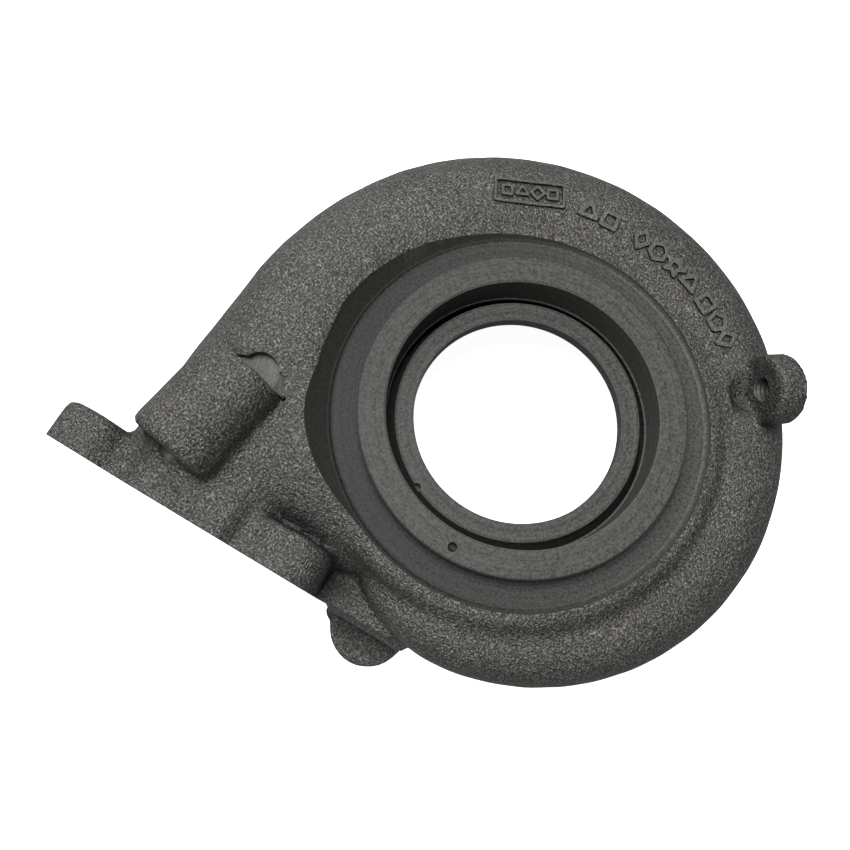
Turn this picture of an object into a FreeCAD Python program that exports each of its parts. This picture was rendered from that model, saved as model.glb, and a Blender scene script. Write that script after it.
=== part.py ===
"""Turbocharger turbine housing: one iron casting, machined on its fastening faces.

Millimetres. +Z is the turbine axis, pointing out of the bearing side. The origin is on
that axis at the outlet face, which the housing stands on. The inlet flange faces -Y.
"""
import FreeCAD, Part
import math
import os

from FreeCAD import Vector

os.makedirs("parts", exist_ok=True)

# Bearing side, turned about the axis
HOUSING_HEIGHT = 62.0
RECESS_RADIUS = 39.65
RECESS_CHAMFER = 0.5
LIP_WALL = 8.25
LIP_RADIUS = RECESS_RADIUS + LIP_WALL
LIP_THICKNESS = 1.8
LIP_OVERHANG = 3.7
LIP_GROOVE_RADIUS = LIP_RADIUS - LIP_OVERHANG
LIP_GROOVE_SLOPE_DROP = 2.8
LIP_CHAMFER = 0.4
LEDGE_DEPTH = 9.5
LEDGE_GAP = 2.95
LEDGE_RADIUS = RECESS_RADIUS - LEDGE_GAP
LEDGE_WIDTH = 5.55
BORE_RADIUS = LEDGE_RADIUS - LEDGE_WIDTH
BORE_LENGTH = 4.6
RECESS_RUN_PAST_LEDGE = 3.8
RECESS_WALL_DEPTH = LEDGE_DEPTH + RECESS_RUN_PAST_LEDGE
RECESS_STEP_WIDTH = 0.5
RECESS_STEP_HEIGHT = 0.6
CLEARANCE_DEPTH = 6.5
CLEARANCE_WIDTH = 8.0
CLEARANCE_RADIUS = LIP_RADIUS + CLEARANCE_WIDTH
CLEARANCE_WALL_ANGLE = 58.5
DOWEL_HOLE_RADIUS = 1.35
DOWEL_HOLE_DEPTH = 5.0
DOWEL_EDGE_DISTANCE = 4.55
DOWEL_CIRCLE_RADIUS = RECESS_RADIUS + DOWEL_EDGE_DISTANCE
DOWEL_ANGLE = 271.9
NOTCH_RADIUS = 1.2
NOTCH_ANGLE = 245.0
NOTCH_DEPTH = 3.0

# Hub that carries the turned faces
HUB_WALL = 6.1
HUB_RADIUS = CLEARANCE_RADIUS + HUB_WALL
HUB_SHOULDER = 4.0
THROAT_SKIN = 5.0
THROAT_RADIUS = HUB_RADIUS - THROAT_SKIN
THROAT_HEIGHT = 10.7
THROAT_FLOOR_DEPTH = RECESS_WALL_DEPTH + THROAT_HEIGHT
THROAT_WALL = 5.8

# Outlet side
OUTLET_TAPER = 0.46
OUTLET_FLANGE_STEP = 3.0
OUTLET_FLANGE_RADIUS = HUB_RADIUS + OUTLET_FLANGE_STEP
OUTLET_FLANGE_THICKNESS = 12.0
OUTLET_EAR_OFFSET = 8.9
OUTLET_EAR_CIRCLE_RADIUS = OUTLET_FLANGE_RADIUS + OUTLET_EAR_OFFSET
OUTLET_EAR_RADIUS = 12.5
OUTLET_EAR_COUNT = 4
OUTLET_FIRST_EAR_ANGLE = 264.4
OUTLET_BOLT_RADIUS = 4.25
OUTLET_BOLT_DEPTH = 10.0

# Scroll: the tube turns clockwise, seen from the bearing side, from the inlet at 180 degrees
CASTING_WALL = 5.5
GAS_WAY_OFFSET = 8.0
SECTION_ROUNDNESS = 2.2
SCROLL_START_RADIUS = 91.3
SCROLL_SHRINK_RATE = 0.005
SCROLL_SHRINK_CURVE = 0.00023
SCROLL_INLET_FLARE = 1.7
SCROLL_START_ANGLE = 180.0
SCROLL_TURN = 260.0
SCROLL_STATIONS = 11
SCROLL_WIDTH_START = 46.0
SCROLL_WIDTH_END = 24.0
CROWN_START_HEIGHT = 3.0
CROWN_END_DEPTH = 9.5
CROWN_FADE_TURN = 290.0
SCROLL_BOTTOM_START_DEPTH = 48.0
SCROLL_BOTTOM_END_DEPTH = 33.0
TONGUE_TURN = 24.0
TONGUE_SHRINK = 0.55

# Inlet duct: its sides at the scroll end, half way, and at the flange
DUCT_END_Y = -21.0
DUCT_END_LEFT = -94.3
DUCT_END_RIGHT = -43.0
DUCT_MIDDLE_Y = -45.0
DUCT_MIDDLE_LEFT = -95.8
DUCT_MIDDLE_RIGHT = -36.0
DUCT_FLANGE_Y = -66.0
DUCT_FLANGE_LEFT = -96.0
DUCT_FLANGE_RIGHT = -44.0
DUCT_SAG = 1.0

# How far the gas way's roof lies lower in the duct, under the bored boss and its spot cut
GAS_ROOF_DROP = 13.0
GAS_ROOF_DROP_FLANGE = 6.0

# Saddle of metal between the duct, the hub and the scroll's small end
SADDLE_DUCT_X = -62.0
SADDLE_DUCT_TOP = 2.6
SADDLE_DUCT_REAR = -22.0
SADDLE_DUCT_FRONT = -63.0
SADDLE_MIDDLE_X = -43.0
SADDLE_MIDDLE_TOP = 3.2
SADDLE_MIDDLE_REAR = -20.0
SADDLE_MIDDLE_FRONT = -64.0
SADDLE_HUB_X = -26.0
SADDLE_HUB_TOP = -3.2
SADDLE_HUB_REAR = -22.0
SADDLE_HUB_FRONT = -64.5
SADDLE_END_X = -8.0
SADDLE_END_TOP = -9.5
SADDLE_END_REAR = -26.0
SADDLE_END_FRONT = -62.0
SADDLE_BOTTOM = -44.0

# Inlet flange
INLET_X = -68.25
INLET_FACE_Y = -74.3
INLET_FLANGE_THICKNESS = 12.2
INLET_FLANGE_LENGTH = 86.5
INLET_FLANGE_HEIGHT = 58.0
INLET_FLANGE_CENTRE_Z = 34.0
INLET_EAR_WIDTH = 17.0
INLET_EAR_CORNER = 7.0
INLET_SCALLOP_DEPTH = 4.5
INLET_SCALLOP_FILLET = 4.0
INLET_SCALLOP_WIDTH = 4.25
INLET_RIM_WIDTH = INLET_FLANGE_LENGTH - 2 * (INLET_EAR_WIDTH + INLET_SCALLOP_WIDTH)
INLET_RIM_RISE = 0.5
INLET_INNER_FILLET = 2.4
INLET_BOLT_EDGE_X = 6.75
INLET_BOLT_SPACING_X = INLET_FLANGE_LENGTH - 2 * INLET_BOLT_EDGE_X
INLET_BOLT_EDGE_Z = 10.0
INLET_BOLT_SPACING_Z = INLET_FLANGE_HEIGHT - 2 * INLET_BOLT_EDGE_Z
INLET_BOLT_RADIUS = 4.25
PORT_WIDTH = 46.0
PORT_HEIGHT = 38.0

# Boss with a cross bore beside the duct
BORE_BOSS_RADIUS = 13.3
BORE_BOSS_LENGTH = 30.3
BORE_BOSS_SOCKET = 4.0
BORE_BOSS_HOLE_RADIUS = 3.5
BORE_BOSS_TURN = 9.4
BORE_BOSS_END_X = -72.7
BORE_BOSS_END_Y = -31.7
BORE_BOSS_HEIGHT_OVER_LIP = 2.4
BORE_BOSS_FOOT_FILLET = 2.6
SPOT_CUT_RADIUS = 14.1
SPOT_CUT_REACH = 2.6
SPOT_CUT_POINT = 6.1

# Boss with a threaded hole on the scroll's rim; its face looks in at the axis
THREAD_BOSS_RADIUS = 10.5
THREAD_BOSS_ANGLE = 36.7
THREAD_BOSS_TILT = 8.0
THREAD_BOSS_FACE_RADIUS = 71.8
THREAD_BOSS_LENGTH = 8.7
THREAD_BOSS_DEPTH = 2.0
THREAD_BOSS_FILLET = 1.2
THREAD_FOOT_WIDTH = 15.0
THREAD_FOOT_DEPTH = 20.0
THREAD_FOOT_INSET = 1.5
THREAD_RELIEF_RADIUS = 6.5
THREAD_RELIEF_REACH = 6.0
THREAD_CORE_RADIUS = 3.4

# Pad between the inlet flange and the scroll's small end
PAD_WIDTH = 26.5
PAD_RIGHT_X = 5.2
PAD_FACE_Y = -75.3
PAD_REACH = 25.0
PAD_TOP_Z = 38.0
PAD_FOOT_Z = 10.0
PAD_FILLET = 3.0
PAD_LINK_LEFT_X = -32.0
PAD_LINK_SETBACK = 1.2
PAD_LINK_TOP_Z = 40.0
PAD_LINK_FOOT_Z = 24.0

# How far a cutter runs past a face, how far from an edge the metal round it is looked at,
# and how close two lengths are to count as equal
CUT_PAST = 2.0
PROBE_REACH = 0.3
TINY = 0.01
OVAL_POINTS = 24
FULL_TURN = 360.0

AXIS = Vector(0, 0, 1)
ORIGIN = Vector(0, 0, 0)


def below_lip(depth):
    """Height of a point that lies this far below the lip's face."""
    return HOUSING_HEIGHT - depth


def polar(radius, angle, z=0.0):
    turn = math.radians(angle)
    return Vector(radius * math.cos(turn), radius * math.sin(turn), z)


def turned(points):
    """Solid of revolution about Z from a closed outline of (radius, height) points."""
    corners = [Vector(r, 0, z) for r, z in points]
    face = Part.Face(Part.makePolygon(corners + corners[:1]))
    return face.revolve(ORIGIN, AXIS, FULL_TURN)


def oval_wire(origin, outward, centre, height, half_width, half_height):
    """Closed superellipse in the upright plane through origin that holds outward."""
    points = []
    power = 2.0 / SECTION_ROUNDNESS
    for step in range(OVAL_POINTS):
        turn = 2 * math.pi * step / OVAL_POINTS
        c, s = math.cos(turn), math.sin(turn)
        across = half_width * math.copysign(abs(c) ** power, c)
        up = half_height * math.copysign(abs(s) ** power, s)
        points.append(origin + outward * (centre + across) + AXIS * (height + up))
    curve = Part.BSplineCurve()
    curve.interpolate(points, PeriodicFlag=True)
    return Part.Wire(curve.toShape())


def scroll_section(turn, wall):
    """Radial centre, height, half width and half height of the tube at a turn past the inlet."""
    share = turn / SCROLL_TURN
    outer = SCROLL_START_RADIUS - SCROLL_SHRINK_RATE * turn - SCROLL_SHRINK_CURVE * turn ** 2
    if turn == 0:
        outer += SCROLL_INLET_FLARE
    half_width = (SCROLL_WIDTH_START + (SCROLL_WIDTH_END - SCROLL_WIDTH_START) * share) / 2
    fade = (1 - turn / CROWN_FADE_TURN) ** 2
    crown = (CROWN_START_HEIGHT + CROWN_END_DEPTH) * fade - CROWN_END_DEPTH
    bottom = SCROLL_BOTTOM_START_DEPTH
    bottom += (SCROLL_BOTTOM_END_DEPTH - SCROLL_BOTTOM_START_DEPTH) * share
    half_height = (crown + bottom) / 2
    height = below_lip((bottom - crown) / 2)
    return outer - half_width, height, half_width - wall, half_height - wall


def scroll_wire(turn, wall, shrink=1.0):
    centre, height, half_width, half_height = scroll_section(turn, wall)
    outward = polar(1, SCROLL_START_ANGLE - turn)
    return oval_wire(ORIGIN, outward, centre, height, half_width * shrink, half_height * shrink)


def duct_wire(y, left, right, half_height, height, wall, drop=0.0):
    half_height -= drop / 2
    height -= drop / 2
    centre = -(left + right) / 2
    half_width = (right - left) / 2
    return oval_wire(Vector(0, y, 0), Vector(-1, 0, 0), centre, height,
                     half_width - wall, half_height - wall)


def port_wire():
    """Inlet opening, just outside the flange's face."""
    return duct_wire(INLET_FACE_Y - CUT_PAST, INLET_X - PORT_WIDTH / 2, INLET_X + PORT_WIDTH / 2,
                     PORT_HEIGHT / 2, INLET_FLANGE_CENTRE_Z, 0)


def tube(wall):
    """The duct and scroll as one lofted solid, its skin moved inward by wall."""
    height, half_height = scroll_section(0, 0)[1::2]
    right_offset = GAS_WAY_OFFSET if wall else 0
    drop = GAS_ROOF_DROP if wall else 0
    flange_drop = GAS_ROOF_DROP_FLANGE if wall else 0
    wires = [duct_wire(DUCT_FLANGE_Y, DUCT_FLANGE_LEFT, DUCT_FLANGE_RIGHT - right_offset,
                       half_height - DUCT_SAG, height - DUCT_SAG, wall, flange_drop),
             duct_wire(DUCT_MIDDLE_Y, DUCT_MIDDLE_LEFT, DUCT_MIDDLE_RIGHT - right_offset,
                       half_height, height, wall, drop),
             duct_wire(DUCT_END_Y, DUCT_END_LEFT, DUCT_END_RIGHT - right_offset,
                       half_height, height, wall, drop)]
    for step in range(SCROLL_STATIONS):
        wires.append(scroll_wire(SCROLL_TURN * step / (SCROLL_STATIONS - 1), wall))
    if wall:
        wires.insert(0, port_wire())
    else:
        wires.append(scroll_wire(SCROLL_TURN + TONGUE_TURN, wall, TONGUE_SHRINK))
    return Part.makeLoft(wires, True, False)


def saddle_wire(x, top, rear, front):
    half_height = (top - SADDLE_BOTTOM) / 2
    half_length = (rear - front) / 2
    return oval_wire(Vector(x, 0, 0), Vector(0, 1, 0), (rear + front) / 2,
                     below_lip(-(top + SADDLE_BOTTOM) / 2), half_length, half_height)


def saddle():
    """Metal that fills the corner where the duct leaves the hub."""
    return Part.makeLoft([
        saddle_wire(SADDLE_DUCT_X, SADDLE_DUCT_TOP, SADDLE_DUCT_REAR, SADDLE_DUCT_FRONT),
        saddle_wire(SADDLE_MIDDLE_X, SADDLE_MIDDLE_TOP, SADDLE_MIDDLE_REAR, SADDLE_MIDDLE_FRONT),
        saddle_wire(SADDLE_HUB_X, SADDLE_HUB_TOP, SADDLE_HUB_REAR, SADDLE_HUB_FRONT),
        saddle_wire(SADDLE_END_X, SADDLE_END_TOP, SADDLE_END_REAR, SADDLE_END_FRONT),
    ], True, False)


def hub():
    """Round body under the turned faces, with the lip on top."""
    top = below_lip(CLEARANCE_DEPTH)
    body = Part.makeCylinder(HUB_RADIUS, top)
    rim = [edge for edge in body.Edges if edge.BoundBox.ZMin > top - TINY]
    body = body.makeFillet(HUB_SHOULDER, rim)
    return body.fuse(Part.makeCylinder(LIP_RADIUS, HOUSING_HEIGHT))


def outlet_flange():
    """Flat ring at the outlet with an ear for each bolt."""
    flange = Part.makeCylinder(OUTLET_FLANGE_RADIUS, OUTLET_FLANGE_THICKNESS)
    for angle in outlet_ear_angles():
        ear = Part.makeCylinder(OUTLET_EAR_RADIUS, OUTLET_FLANGE_THICKNESS,
                                polar(OUTLET_EAR_CIRCLE_RADIUS, angle))
        neck = Part.makeBox(OUTLET_EAR_CIRCLE_RADIUS, 2 * OUTLET_EAR_RADIUS,
                            OUTLET_FLANGE_THICKNESS, Vector(0, -OUTLET_EAR_RADIUS, 0))
        neck.rotate(ORIGIN, AXIS, angle)
        flange = flange.fuse([ear, neck])
    return flange.removeSplitter()


def outlet_ear_angles():
    step = FULL_TURN / OUTLET_EAR_COUNT
    return [OUTLET_FIRST_EAR_ANGLE + step * index for index in range(OUTLET_EAR_COUNT)]


def slab(width, height, y, thickness, fillet, x=INLET_X, z=INLET_FLANGE_CENTRE_Z):
    """Upright plate facing -Y with its four corners rounded."""
    plate = Part.makeBox(width, thickness, height, Vector(x - width / 2, y, z - height / 2))
    corners = [edge for edge in plate.Edges if edge.BoundBox.YLength > thickness - TINY]
    return plate.makeFillet(fillet, corners)


def inlet_flange():
    """Flange across the duct: two upright bars for the bolts, and a rim round the port."""
    face = INLET_FACE_Y
    thickness = INLET_FLANGE_THICKNESS
    web = slab(INLET_FLANGE_LENGTH - INLET_EAR_WIDTH, INLET_FLANGE_HEIGHT - 2 * INLET_SCALLOP_DEPTH,
               face, thickness, INLET_SCALLOP_FILLET)
    rim = slab(INLET_RIM_WIDTH, INLET_FLANGE_HEIGHT + 2 * INLET_RIM_RISE, face, thickness,
               INLET_EAR_CORNER)
    plate = web.fuse(rim)
    for side in (-1, 1):
        x = INLET_X + side * (INLET_FLANGE_LENGTH - INLET_EAR_WIDTH) / 2
        plate = plate.fuse(slab(INLET_EAR_WIDTH, INLET_FLANGE_HEIGHT, face, thickness,
                                INLET_EAR_CORNER, x))
    plate = plate.removeSplitter()
    return plate.makeFillet(INLET_INNER_FILLET, inner_corners(plate, thickness))


def inner_corners(plate, thickness):
    """Edges along Y where a bar meets the web at an inside corner."""
    found = []
    for edge in plate.Edges:
        box = edge.BoundBox
        if box.YLength < thickness - TINY or max(box.XLength, box.ZLength) > TINY:
            continue
        middle = Vector(box.XMin, box.Center.y, box.ZMin)
        probes = [middle + Vector(side, 0, rise) * PROBE_REACH
                  for side in (-1, 1) for rise in (-1, 1)]
        if sum(plate.isInside(point, TINY, False) for point in probes) == 3:
            found.append(edge)
    return found


def bore_boss_axis():
    turn = math.radians(BORE_BOSS_TURN)
    return Vector(math.sin(turn), math.cos(turn), 0)


def bore_boss_end():
    return Vector(BORE_BOSS_END_X, BORE_BOSS_END_Y, below_lip(-BORE_BOSS_HEIGHT_OVER_LIP))


def bore_boss():
    """Round boss that lies along the duct, its foot on the inlet flange."""
    start = bore_boss_end() - bore_boss_axis() * BORE_BOSS_LENGTH
    boss = Part.makeCylinder(BORE_BOSS_RADIUS, BORE_BOSS_LENGTH + BORE_BOSS_SOCKET, start,
                             bore_boss_axis())
    middle = boss.CenterOfMass
    foot = [edge for edge in boss.Edges if len(edge.Vertexes) == 1
            and (edge.CenterOfMass - middle).dot(bore_boss_axis()) < 0]
    return boss.makeFillet(BORE_BOSS_FOOT_FILLET, foot)


def bore_boss_cuts():
    """Spot face behind the boss, left by a pointed cutter, and its bore."""
    axis = bore_boss_axis()
    end = bore_boss_end()
    spot = Part.makeCylinder(SPOT_CUT_RADIUS, SPOT_CUT_REACH, end, axis)
    point = Part.makeCone(SPOT_CUT_RADIUS, 0, SPOT_CUT_POINT, end + axis * SPOT_CUT_REACH, axis)
    start = end - axis * (BORE_BOSS_LENGTH + CUT_PAST)
    bore = Part.makeCylinder(BORE_BOSS_HOLE_RADIUS, BORE_BOSS_LENGTH + 2 * CUT_PAST, start, axis)
    return [spot.fuse(point), bore]


def thread_boss_axis():
    """From the boss's face out through the scroll's rim."""
    tilt = math.radians(THREAD_BOSS_TILT)
    return polar(math.cos(tilt), THREAD_BOSS_ANGLE, -math.sin(tilt))


def thread_boss_face():
    return polar(THREAD_BOSS_FACE_RADIUS, THREAD_BOSS_ANGLE, below_lip(THREAD_BOSS_DEPTH))


def thread_boss():
    boss = Part.makeCylinder(THREAD_BOSS_RADIUS, THREAD_BOSS_LENGTH, thread_boss_face(),
                             thread_boss_axis())
    boss = boss.makeFillet(THREAD_BOSS_FILLET, boss.Edges)
    foot = Part.makeBox(THREAD_BOSS_LENGTH - 2 * THREAD_FOOT_INSET, THREAD_FOOT_WIDTH,
                        THREAD_FOOT_DEPTH,
                        Vector(THREAD_BOSS_FACE_RADIUS + THREAD_FOOT_INSET, -THREAD_FOOT_WIDTH / 2,
                               below_lip(THREAD_BOSS_DEPTH) - THREAD_FOOT_DEPTH))
    foot.rotate(ORIGIN, AXIS, THREAD_BOSS_ANGLE)
    return boss.fuse(foot)


def thread_cuts():
    """Threaded hole's core, through the boss, and the tool's way out in front of its face."""
    axis = thread_boss_axis()
    core = Part.makeCylinder(THREAD_CORE_RADIUS, THREAD_BOSS_LENGTH + 2 * CUT_PAST,
                             thread_boss_face() - axis * CUT_PAST, axis)
    relief = Part.makeCylinder(THREAD_RELIEF_RADIUS, THREAD_RELIEF_REACH,
                               thread_boss_face() - axis * THREAD_RELIEF_REACH, axis)
    return [core, relief]


def pad():
    """Block that ties the inlet flange to the scroll's small end."""
    block = Part.makeBox(PAD_WIDTH, PAD_REACH, PAD_TOP_Z - PAD_FOOT_Z,
                         Vector(PAD_RIGHT_X - PAD_WIDTH, PAD_FACE_Y, PAD_FOOT_Z))
    edges = [edge for edge in block.Edges
             if edge.CenterOfMass.z > PAD_TOP_Z - TINY and edge.CenterOfMass.y < PAD_FACE_Y + TINY]
    block = block.makeFillet(PAD_FILLET, edges)
    link = Part.makeBox(PAD_RIGHT_X - PAD_WIDTH / 2 - PAD_LINK_LEFT_X, PAD_REACH,
                        PAD_LINK_TOP_Z - PAD_LINK_FOOT_Z,
                        Vector(PAD_LINK_LEFT_X, INLET_FACE_Y + PAD_LINK_SETBACK, PAD_LINK_FOOT_Z))
    return block.fuse(link)


def turned_cuts():
    """Everything the lathe takes off about the axis."""
    lip_face = below_lip(0)
    floor = below_lip(CLEARANCE_DEPTH)
    reach = CLEARANCE_DEPTH + BORE_BOSS_HEIGHT_OVER_LIP + BORE_BOSS_RADIUS + CUT_PAST
    spread = reach / math.tan(math.radians(CLEARANCE_WALL_ANGLE))
    groove_top = below_lip(LIP_THICKNESS)
    groove_foot = below_lip(LIP_THICKNESS + LIP_GROOVE_SLOPE_DROP)
    clearance = turned([
        (LIP_RADIUS - LIP_CHAMFER, floor + reach),
        (LIP_RADIUS - LIP_CHAMFER, lip_face),
        (LIP_RADIUS, lip_face - LIP_CHAMFER),
        (LIP_RADIUS, groove_top),
        (LIP_GROOVE_RADIUS, groove_foot),
        (LIP_GROOVE_RADIUS, floor),
        (CLEARANCE_RADIUS, floor),
        (CLEARANCE_RADIUS + spread, floor + reach),
    ])
    ledge = below_lip(LEDGE_DEPTH)
    recess_foot = below_lip(RECESS_WALL_DEPTH)
    throat_floor = below_lip(THROAT_FLOOR_DEPTH)
    throat_inner = BORE_RADIUS + OUTLET_TAPER * (THROAT_FLOOR_DEPTH - LEDGE_DEPTH - BORE_LENGTH)
    throat_inner += THROAT_WALL
    recess = turned([
        (0, lip_face + CUT_PAST),
        (RECESS_RADIUS + RECESS_CHAMFER + CUT_PAST, lip_face + CUT_PAST),
        (RECESS_RADIUS + RECESS_CHAMFER, lip_face),
        (RECESS_RADIUS, lip_face - RECESS_CHAMFER),
        (RECESS_RADIUS, recess_foot + RECESS_STEP_HEIGHT),
        (RECESS_RADIUS - RECESS_STEP_WIDTH, recess_foot + RECESS_STEP_HEIGHT),
        (RECESS_RADIUS - RECESS_STEP_WIDTH, recess_foot),
        (THROAT_RADIUS, recess_foot),
        (THROAT_RADIUS, throat_floor),
        (throat_inner, throat_floor),
        (LEDGE_RADIUS, ledge - BORE_LENGTH),
        (LEDGE_RADIUS, ledge),
        (0, ledge),
    ])
    land_foot = ledge - BORE_LENGTH
    outlet = turned([
        (0, ledge + CUT_PAST),
        (BORE_RADIUS, ledge + CUT_PAST),
        (BORE_RADIUS, land_foot),
        (BORE_RADIUS + OUTLET_TAPER * land_foot, 0),
        (BORE_RADIUS + OUTLET_TAPER * land_foot, -CUT_PAST),
        (0, -CUT_PAST),
    ])
    return [clearance, recess, outlet]


def small_holes():
    dowel = Part.makeCylinder(DOWEL_HOLE_RADIUS, DOWEL_HOLE_DEPTH + CUT_PAST,
                              polar(DOWEL_CIRCLE_RADIUS, DOWEL_ANGLE, below_lip(DOWEL_HOLE_DEPTH)))
    notch = Part.makeCylinder(NOTCH_RADIUS, NOTCH_DEPTH + CUT_PAST,
                              polar(LEDGE_RADIUS, NOTCH_ANGLE, below_lip(LEDGE_DEPTH + NOTCH_DEPTH)))
    holes = [dowel, notch] + thread_cuts()
    for side_x in (-1, 1):
        for side_z in (-1, 1):
            place = Vector(INLET_X + side_x * INLET_BOLT_SPACING_X / 2, INLET_FACE_Y - CUT_PAST,
                           INLET_FLANGE_CENTRE_Z + side_z * INLET_BOLT_SPACING_Z / 2)
            holes.append(Part.makeCylinder(INLET_BOLT_RADIUS,
                                           INLET_FLANGE_THICKNESS + 2 * CUT_PAST,
                                           place, Vector(0, 1, 0)))
    for angle in outlet_ear_angles():
        holes.append(Part.makeCylinder(OUTLET_BOLT_RADIUS, OUTLET_BOLT_DEPTH + CUT_PAST,
                                       polar(OUTLET_EAR_CIRCLE_RADIUS, angle, -CUT_PAST)))
    return holes


def housing():
    cast = hub().fuse([tube(0), saddle(), outlet_flange(), inlet_flange(), bore_boss(), pad(),
                       thread_boss()])
    gas_way = tube(CASTING_WALL)
    return cast.cut(turned_cuts() + bore_boss_cuts() + small_holes() + [gas_way])


def main():
    solid = housing()
    print(solid.isValid(), len(solid.Solids), solid.Volume)
    solid.exportStep("parts/turbine_housing.step")


main()
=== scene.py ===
"""Dressed turbine housing: one casting with soft skin and crisp machined faces, and its studio.

The casting is built in millimetres in the row frame, as a distance field that is meshed once.
The machined faces are then cut into it with exact turned and drilled shapes.
"""
import math
import bpy
import numpy as np
import openvdb
from mathutils import Matrix, Vector


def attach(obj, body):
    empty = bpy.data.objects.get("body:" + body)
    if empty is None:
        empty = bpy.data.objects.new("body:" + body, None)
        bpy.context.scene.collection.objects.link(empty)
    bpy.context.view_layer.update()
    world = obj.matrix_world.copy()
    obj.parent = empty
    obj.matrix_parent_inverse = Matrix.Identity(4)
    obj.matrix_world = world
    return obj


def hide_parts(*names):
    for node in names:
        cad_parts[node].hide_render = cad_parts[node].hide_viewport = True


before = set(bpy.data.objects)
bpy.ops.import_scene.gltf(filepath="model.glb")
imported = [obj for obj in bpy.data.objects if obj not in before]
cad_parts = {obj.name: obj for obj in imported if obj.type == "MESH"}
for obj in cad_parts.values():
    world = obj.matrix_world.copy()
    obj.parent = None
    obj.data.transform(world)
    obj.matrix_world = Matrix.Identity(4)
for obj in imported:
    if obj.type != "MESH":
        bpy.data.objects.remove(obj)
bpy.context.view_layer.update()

MM = 0.001

# Turned faces, as in the part's source
LIP_Z = 62.0
LIP_RADIUS = 47.9
LIP_THICKNESS = 1.8
LIP_GROOVE_RADIUS = 44.2
LIP_GROOVE_SLOPE_DROP = 2.8
LIP_CHAMFER = 0.4
FLOOR_DEPTH = 6.5
FLOOR_RADIUS = 55.9
FLOOR_WALL_ANGLE = 58.5
COVE_RADIUS = 2.2
COVE_STEPS = 5
FLOOR_REACH = 40.0
RECESS_RADIUS = 39.65
RECESS_CHAMFER = 0.5
RECESS_DEPTH = 13.3
RECESS_STEP_WIDTH = 0.5
RECESS_STEP_HEIGHT = 0.6
LEDGE_DEPTH = 9.5
LEDGE_RADIUS = 36.7
BORE_RADIUS = 31.15
BORE_LENGTH = 4.6
BORE_CHAMFER = 0.25
THROAT_RADIUS = 57.0
THROAT_DEPTH = 24.0
THROAT_WALL = 5.8
OUTLET_TAPER = 0.46

# How far cuts reach past the faces that they start from
TURN_RISE = 1.0
OUTLET_DROP = 8.0
DRILL_OVER = 2.0
BOLT_OUT = 0.3
INLET_CUT = 12.0
FACE_REACH = 130.0
FACE_DROP = 20.0
FACE_TOP_Z = 90.0

# Casting
WALL = 5.5
OVAL_POWER = 2.2
SCROLL_RADIUS = 91.3
SCROLL_RATE = 0.005
SCROLL_CURVE = 0.00023
SCROLL_FLARE = 1.7
SCROLL_FLARE_TURN = 26.0
SCROLL_TURN = 260.0
SCROLL_END_TURN = 284.0
SCROLL_END_SHRINK = 0.45
WIDTH_START = 46.0
WIDTH_END = 24.0
CROWN_START = 3.0
CROWN_END = -9.5
CROWN_TURN = 290.0
BOTTOM_START = 48.0
BOTTOM_END = 33.0
HUB_RADIUS = 62.0
HUB_TOP_DEPTH = 5.2
HUB_ROUND = 5.0
HUB_FOOT_Z = -40.0
LIP_EDGE = 0.2
STOCK = 1.0
SEAM = 1.5
TINY = 1e-4

# Fillets where the shapes of the skin meet
SADDLE_FILLET = 2.0
HUB_FILLET = 3.0
OUTLET_FILLET = 2.5
OUTLET_EAR_FILLET = 5.0
INLET_FILLET = 3.0
INLET_EAR_FILLET = 3.5
SHELF_FILLET = 2.0
PAD_FILLET = 2.5
LINK_FILLET = 1.0
SIDE_FILLET = 2.0
RELIEF_FILLET = 1.5
GAS_FILLET = 2.0

# Slight unevenness of a sand-cast skin: pitch in x, y and z and phase of each wave
WAVE_HEIGHT = 0.035
WAVES = ((0.31, 0.17, 0.23, 0.4), (-0.21, 0.33, 0.12, 2.1), (0.13, -0.27, 0.36, 4.0),
         (0.47, 0.41, -0.19, 1.3))

# Inlet duct and saddle: one value per station, in order
DUCT_Y = (0.0, -21.0, -45.0, -66.0)
DUCT_LEFT = (-93.0, -94.3, -95.8, -96.0)
DUCT_RIGHT = (-47.0, -43.0, -36.0, -44.0)
DUCT_SAG = (0.0, 0.0, 0.0, 1.0)
GAS_Y = (0.0, -21.0, -45.0, -66.0, -76.0)
GAS_LEFT = (-87.5, -88.8, -90.3, -90.5, -91.25)
GAS_RIGHT = (-52.5, -56.5, -49.5, -57.5, -45.25)
GAS_CENTRE_Z = (39.5, 33.0, 33.0, 35.5, 34.0)
GAS_HALF_HEIGHT = (20.0, 13.5, 13.5, 16.0, 19.0)
SADDLE_X = (-62.0, -43.0, -26.0, -8.0)
SADDLE_TOP = (2.4, 2.6, -3.4, -9.5)
SADDLE_REAR = (-10.0, -9.0, -17.0, -26.0)
SADDLE_FRONT = (-63.0, -64.0, -64.5, -62.0)
SADDLE_BOTTOM = -44.0

# Inlet flange: EARS gives the side, width and corner of each end
FLANGE_X = -68.25
FLANGE_Y = -74.3
FLANGE_Z = 34.0
FLANGE_THICK = 12.2
FLANGE_LENGTH = 86.5
FLANGE_HEIGHT = 58.0
FLANGE_EDGE = 2.6
FLANGE_STOCK = 4.0
WEB_INSET = 10.0
WEB_CORNER = 3.0
EARS = ((-1, 19.0, 7.0), (1, 25.0, 11.0))
SCALLOP = 4.5
RIM_WIDTH = 35.0
RIM_CORNER = 7.0
RIM_EXTRA = 1.0
INLET_BOLT_X = 73.0
INLET_BOLT_Z = 38.0
BOLT_RADIUS = 4.25

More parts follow.
